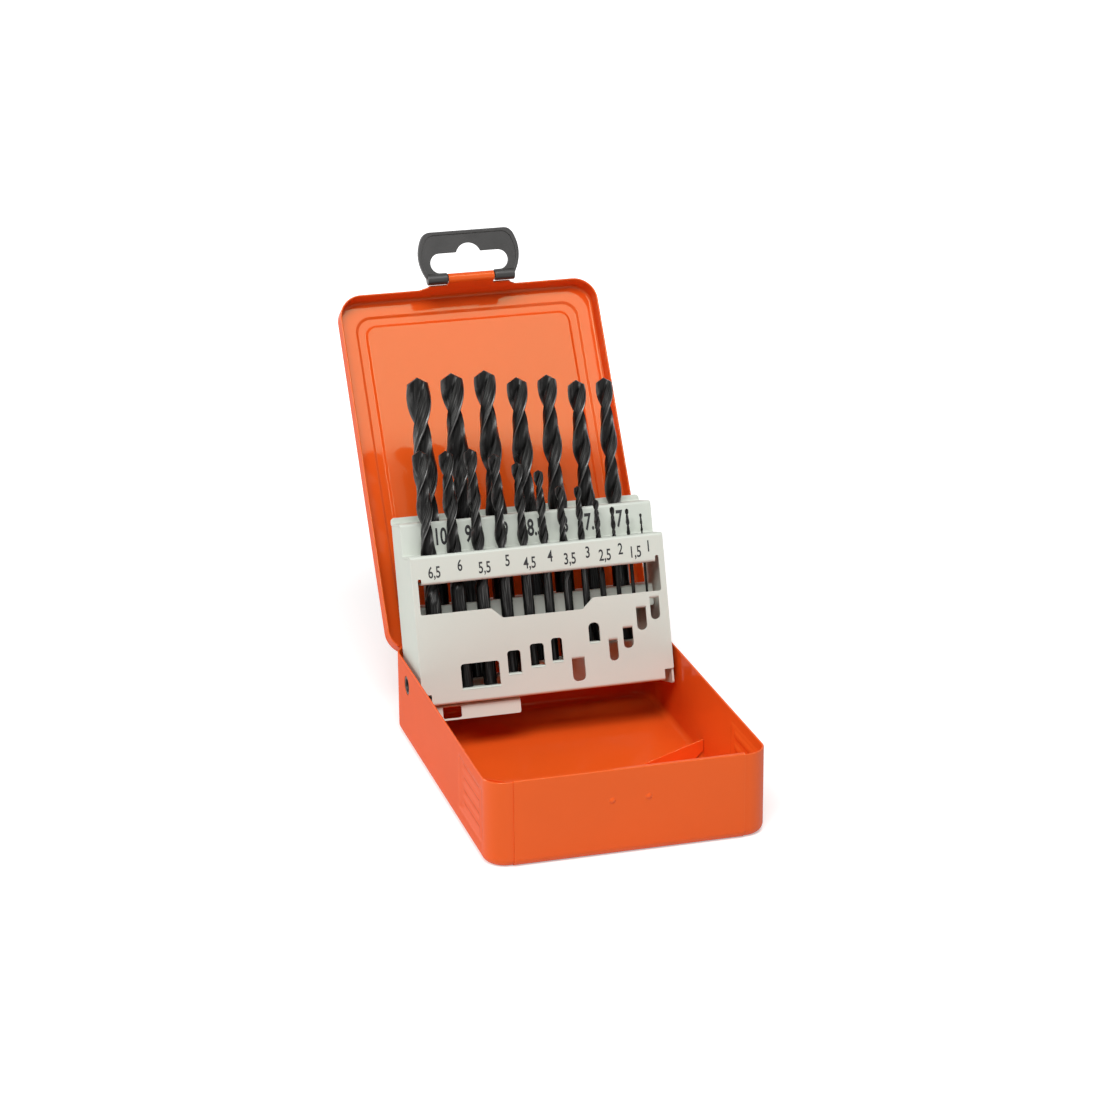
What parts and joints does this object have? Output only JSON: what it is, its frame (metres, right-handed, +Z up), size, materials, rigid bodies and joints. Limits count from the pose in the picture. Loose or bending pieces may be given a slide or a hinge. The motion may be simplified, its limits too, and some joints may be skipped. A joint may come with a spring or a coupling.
{
  "type": "drill bit case",
  "caption": "Folded sheet-metal case with a hinged lid, a hang tab and a tilting stepped holder that stands a graded set of twist drills upright.",
  "frame": {"origin": "centre of the tray's flat bottom, on the surface that it stands on", "axes": "+X to the right across the case, -Y to the front wall, +Z up; the hinge is at +Y and the case is stored open"},
  "size_m": [0.1134, 0.2434, 0.1867],
  "materials": {
    "orange_paint": "gloss",
    "cream_paint": "satin",
    "bright_wire": "plain wire",
    "black_plastic": "moulded",
    "drill_steel": "black oxide"
  },
  "bodies": {
    "tray": {"tray": "orange_paint", "front_panel": "orange_paint", "holder_rests": "orange_paint", "hinge_pin": "bright_wire"},
    "lid": {"lid": "orange_paint"},
    "hanger": {"hanger": "black_plastic"},
    "holder": {"holder_face": "cream_paint", "holder_frame": "cream_paint", "holder_bosses": "cream_paint", "stop_bracket": "cream_paint"},
    "drill_100": {"drill_100": "drill_steel"},
    "drill_095": {"drill_095": "drill_steel"},
    "drill_090": {"drill_090": "drill_steel"},
    "drill_085": {"drill_085": "drill_steel"},
    "drill_080": {"drill_080": "drill_steel"},
    "drill_075": {"drill_075": "drill_steel"},
    "drill_070": {"drill_070": "drill_steel"},
    "drill_065": {"drill_065": "drill_steel"},
    "drill_060": {"drill_060": "drill_steel"},
    "drill_055": {"drill_055": "drill_steel"},
    "drill_050": {"drill_050": "drill_steel"},
    "drill_045": {"drill_045": "drill_steel"},
    "drill_040": {"drill_040": "drill_steel"},
    "drill_035": {"drill_035": "drill_steel"},
    "drill_030": {"drill_030": "drill_steel"},
    "drill_025": {"drill_025": "drill_steel"},
    "drill_020": {"drill_020": "drill_steel"},
    "drill_015": {"drill_015": "drill_steel"},
    "drill_010": {"drill_010": "drill_steel"}
  },
  "joints": [
    {"name": "lid_hinge", "type": "hinge", "parent": "tray", "child": "lid", "pos_m": [0, 0.07625, 0.033], "axis": [-1, 0, 0], "range_deg": [-123.3, 0]},
    {"name": "holder_tilt", "type": "hinge", "parent": "tray", "child": "holder", "pos_m": [0, 0.052, 0.026], "axis": [-1, 0, 0], "range_deg": [-107.3, 0]},
    {"name": "hanger_swing", "type": "hinge", "parent": "lid", "child": "hanger", "pos_m": [0, 0.1538, 0.16763], "axis": [1, 0, 0], "range_deg": [-95, 75]},
    {"name": "drill_100_lift", "type": "slide", "parent": "holder", "child": "drill_100", "axis": [0, 0.2974, 0.9548], "range_m": [0, 0.076]},
    {"name": "drill_095_lift", "type": "slide", "parent": "holder", "child": "drill_095", "axis": [0, 0.2974, 0.9548], "range_m": [0, 0.0674]},
    {"name": "drill_090_lift", "type": "slide", "parent": "holder", "child": "drill_090", "axis": [0, 0.2974, 0.9548], "range_m": [0, 0.0674]},
    {"name": "drill_085_lift", "type": "slide", "parent": "holder", "child": "drill_085", "axis": [0, 0.2974, 0.9548], "range_m": [0, 0.0634]},
    {"name": "drill_080_lift", "type": "slide", "parent": "holder", "child": "drill_080", "axis": [0, 0.2974, 0.9548], "range_m": [0, 0.0634]},
    {"name": "drill_075_lift", "type": "slide", "parent": "holder", "child": "drill_075", "axis": [0, 0.2974, 0.9548], "range_m": [0, 0.0587]},
    {"name": "drill_070_lift", "type": "slide", "parent": "holder", "child": "drill_070", "axis": [0, 0.2974, 0.9548], "range_m": [0, 0.0587]},
    {"name": "drill_065_lift", "type": "slide", "parent": "holder", "child": "drill_065", "axis": [0, 0.2974, 0.9548], "range_m": [0, 0.0605]},
    {"name": "drill_060_lift", "type": "slide", "parent": "holder", "child": "drill_060", "axis": [0, 0.2974, 0.9548], "range_m": [0, 0.0536]},
    {"name": "drill_055_lift", "type": "slide", "parent": "holder", "child": "drill_055", "axis": [0, 0.2974, 0.9548], "range_m": [0, 0.0537]},
    {"name": "drill_050_lift", "type": "slide", "parent": "holder", "child": "drill_050", "axis": [0, 0.2974, 0.9548], "range_m": [0, 0.0497]},
    {"name": "drill_045_lift", "type": "slide", "parent": "holder", "child": "drill_045", "axis": [0, 0.2974, 0.9548], "range_m": [0, 0.0479]},
    {"name": "drill_040_lift", "type": "slide", "parent": "holder", "child": "drill_040", "axis": [0, 0.2974, 0.9548], "range_m": [0, 0.0469]},
    {"name": "drill_035_lift", "type": "slide", "parent": "holder", "child": "drill_035", "axis": [0, 0.2974, 0.9548], "range_m": [0, 0.0492]},
    {"name": "drill_030_lift", "type": "slide", "parent": "holder", "child": "drill_030", "axis": [0, 0.2974, 0.9548], "range_m": [0, 0.041]},
    {"name": "drill_025_lift", "type": "slide", "parent": "holder", "child": "drill_025", "axis": [0, 0.2974, 0.9548], "range_m": [0, 0.0432]},
    {"name": "drill_020_lift", "type": "slide", "parent": "holder", "child": "drill_020", "axis": [0, 0.2974, 0.9548], "range_m": [0, 0.0388]},
    {"name": "drill_015_lift", "type": "slide", "parent": "holder", "child": "drill_015", "axis": [0, 0.2974, 0.9548], "range_m": [0, 0.0312]},
    {"name": "drill_010_lift", "type": "slide", "parent": "holder", "child": "drill_010", "axis": [0, 0.2974, 0.9548], "range_m": [0, 0.0277]}
  ],
  "couplings": [
    {"joint": "holder_tilt", "follows": "lid_hinge", "ratio": 0.87023}
  ]
}
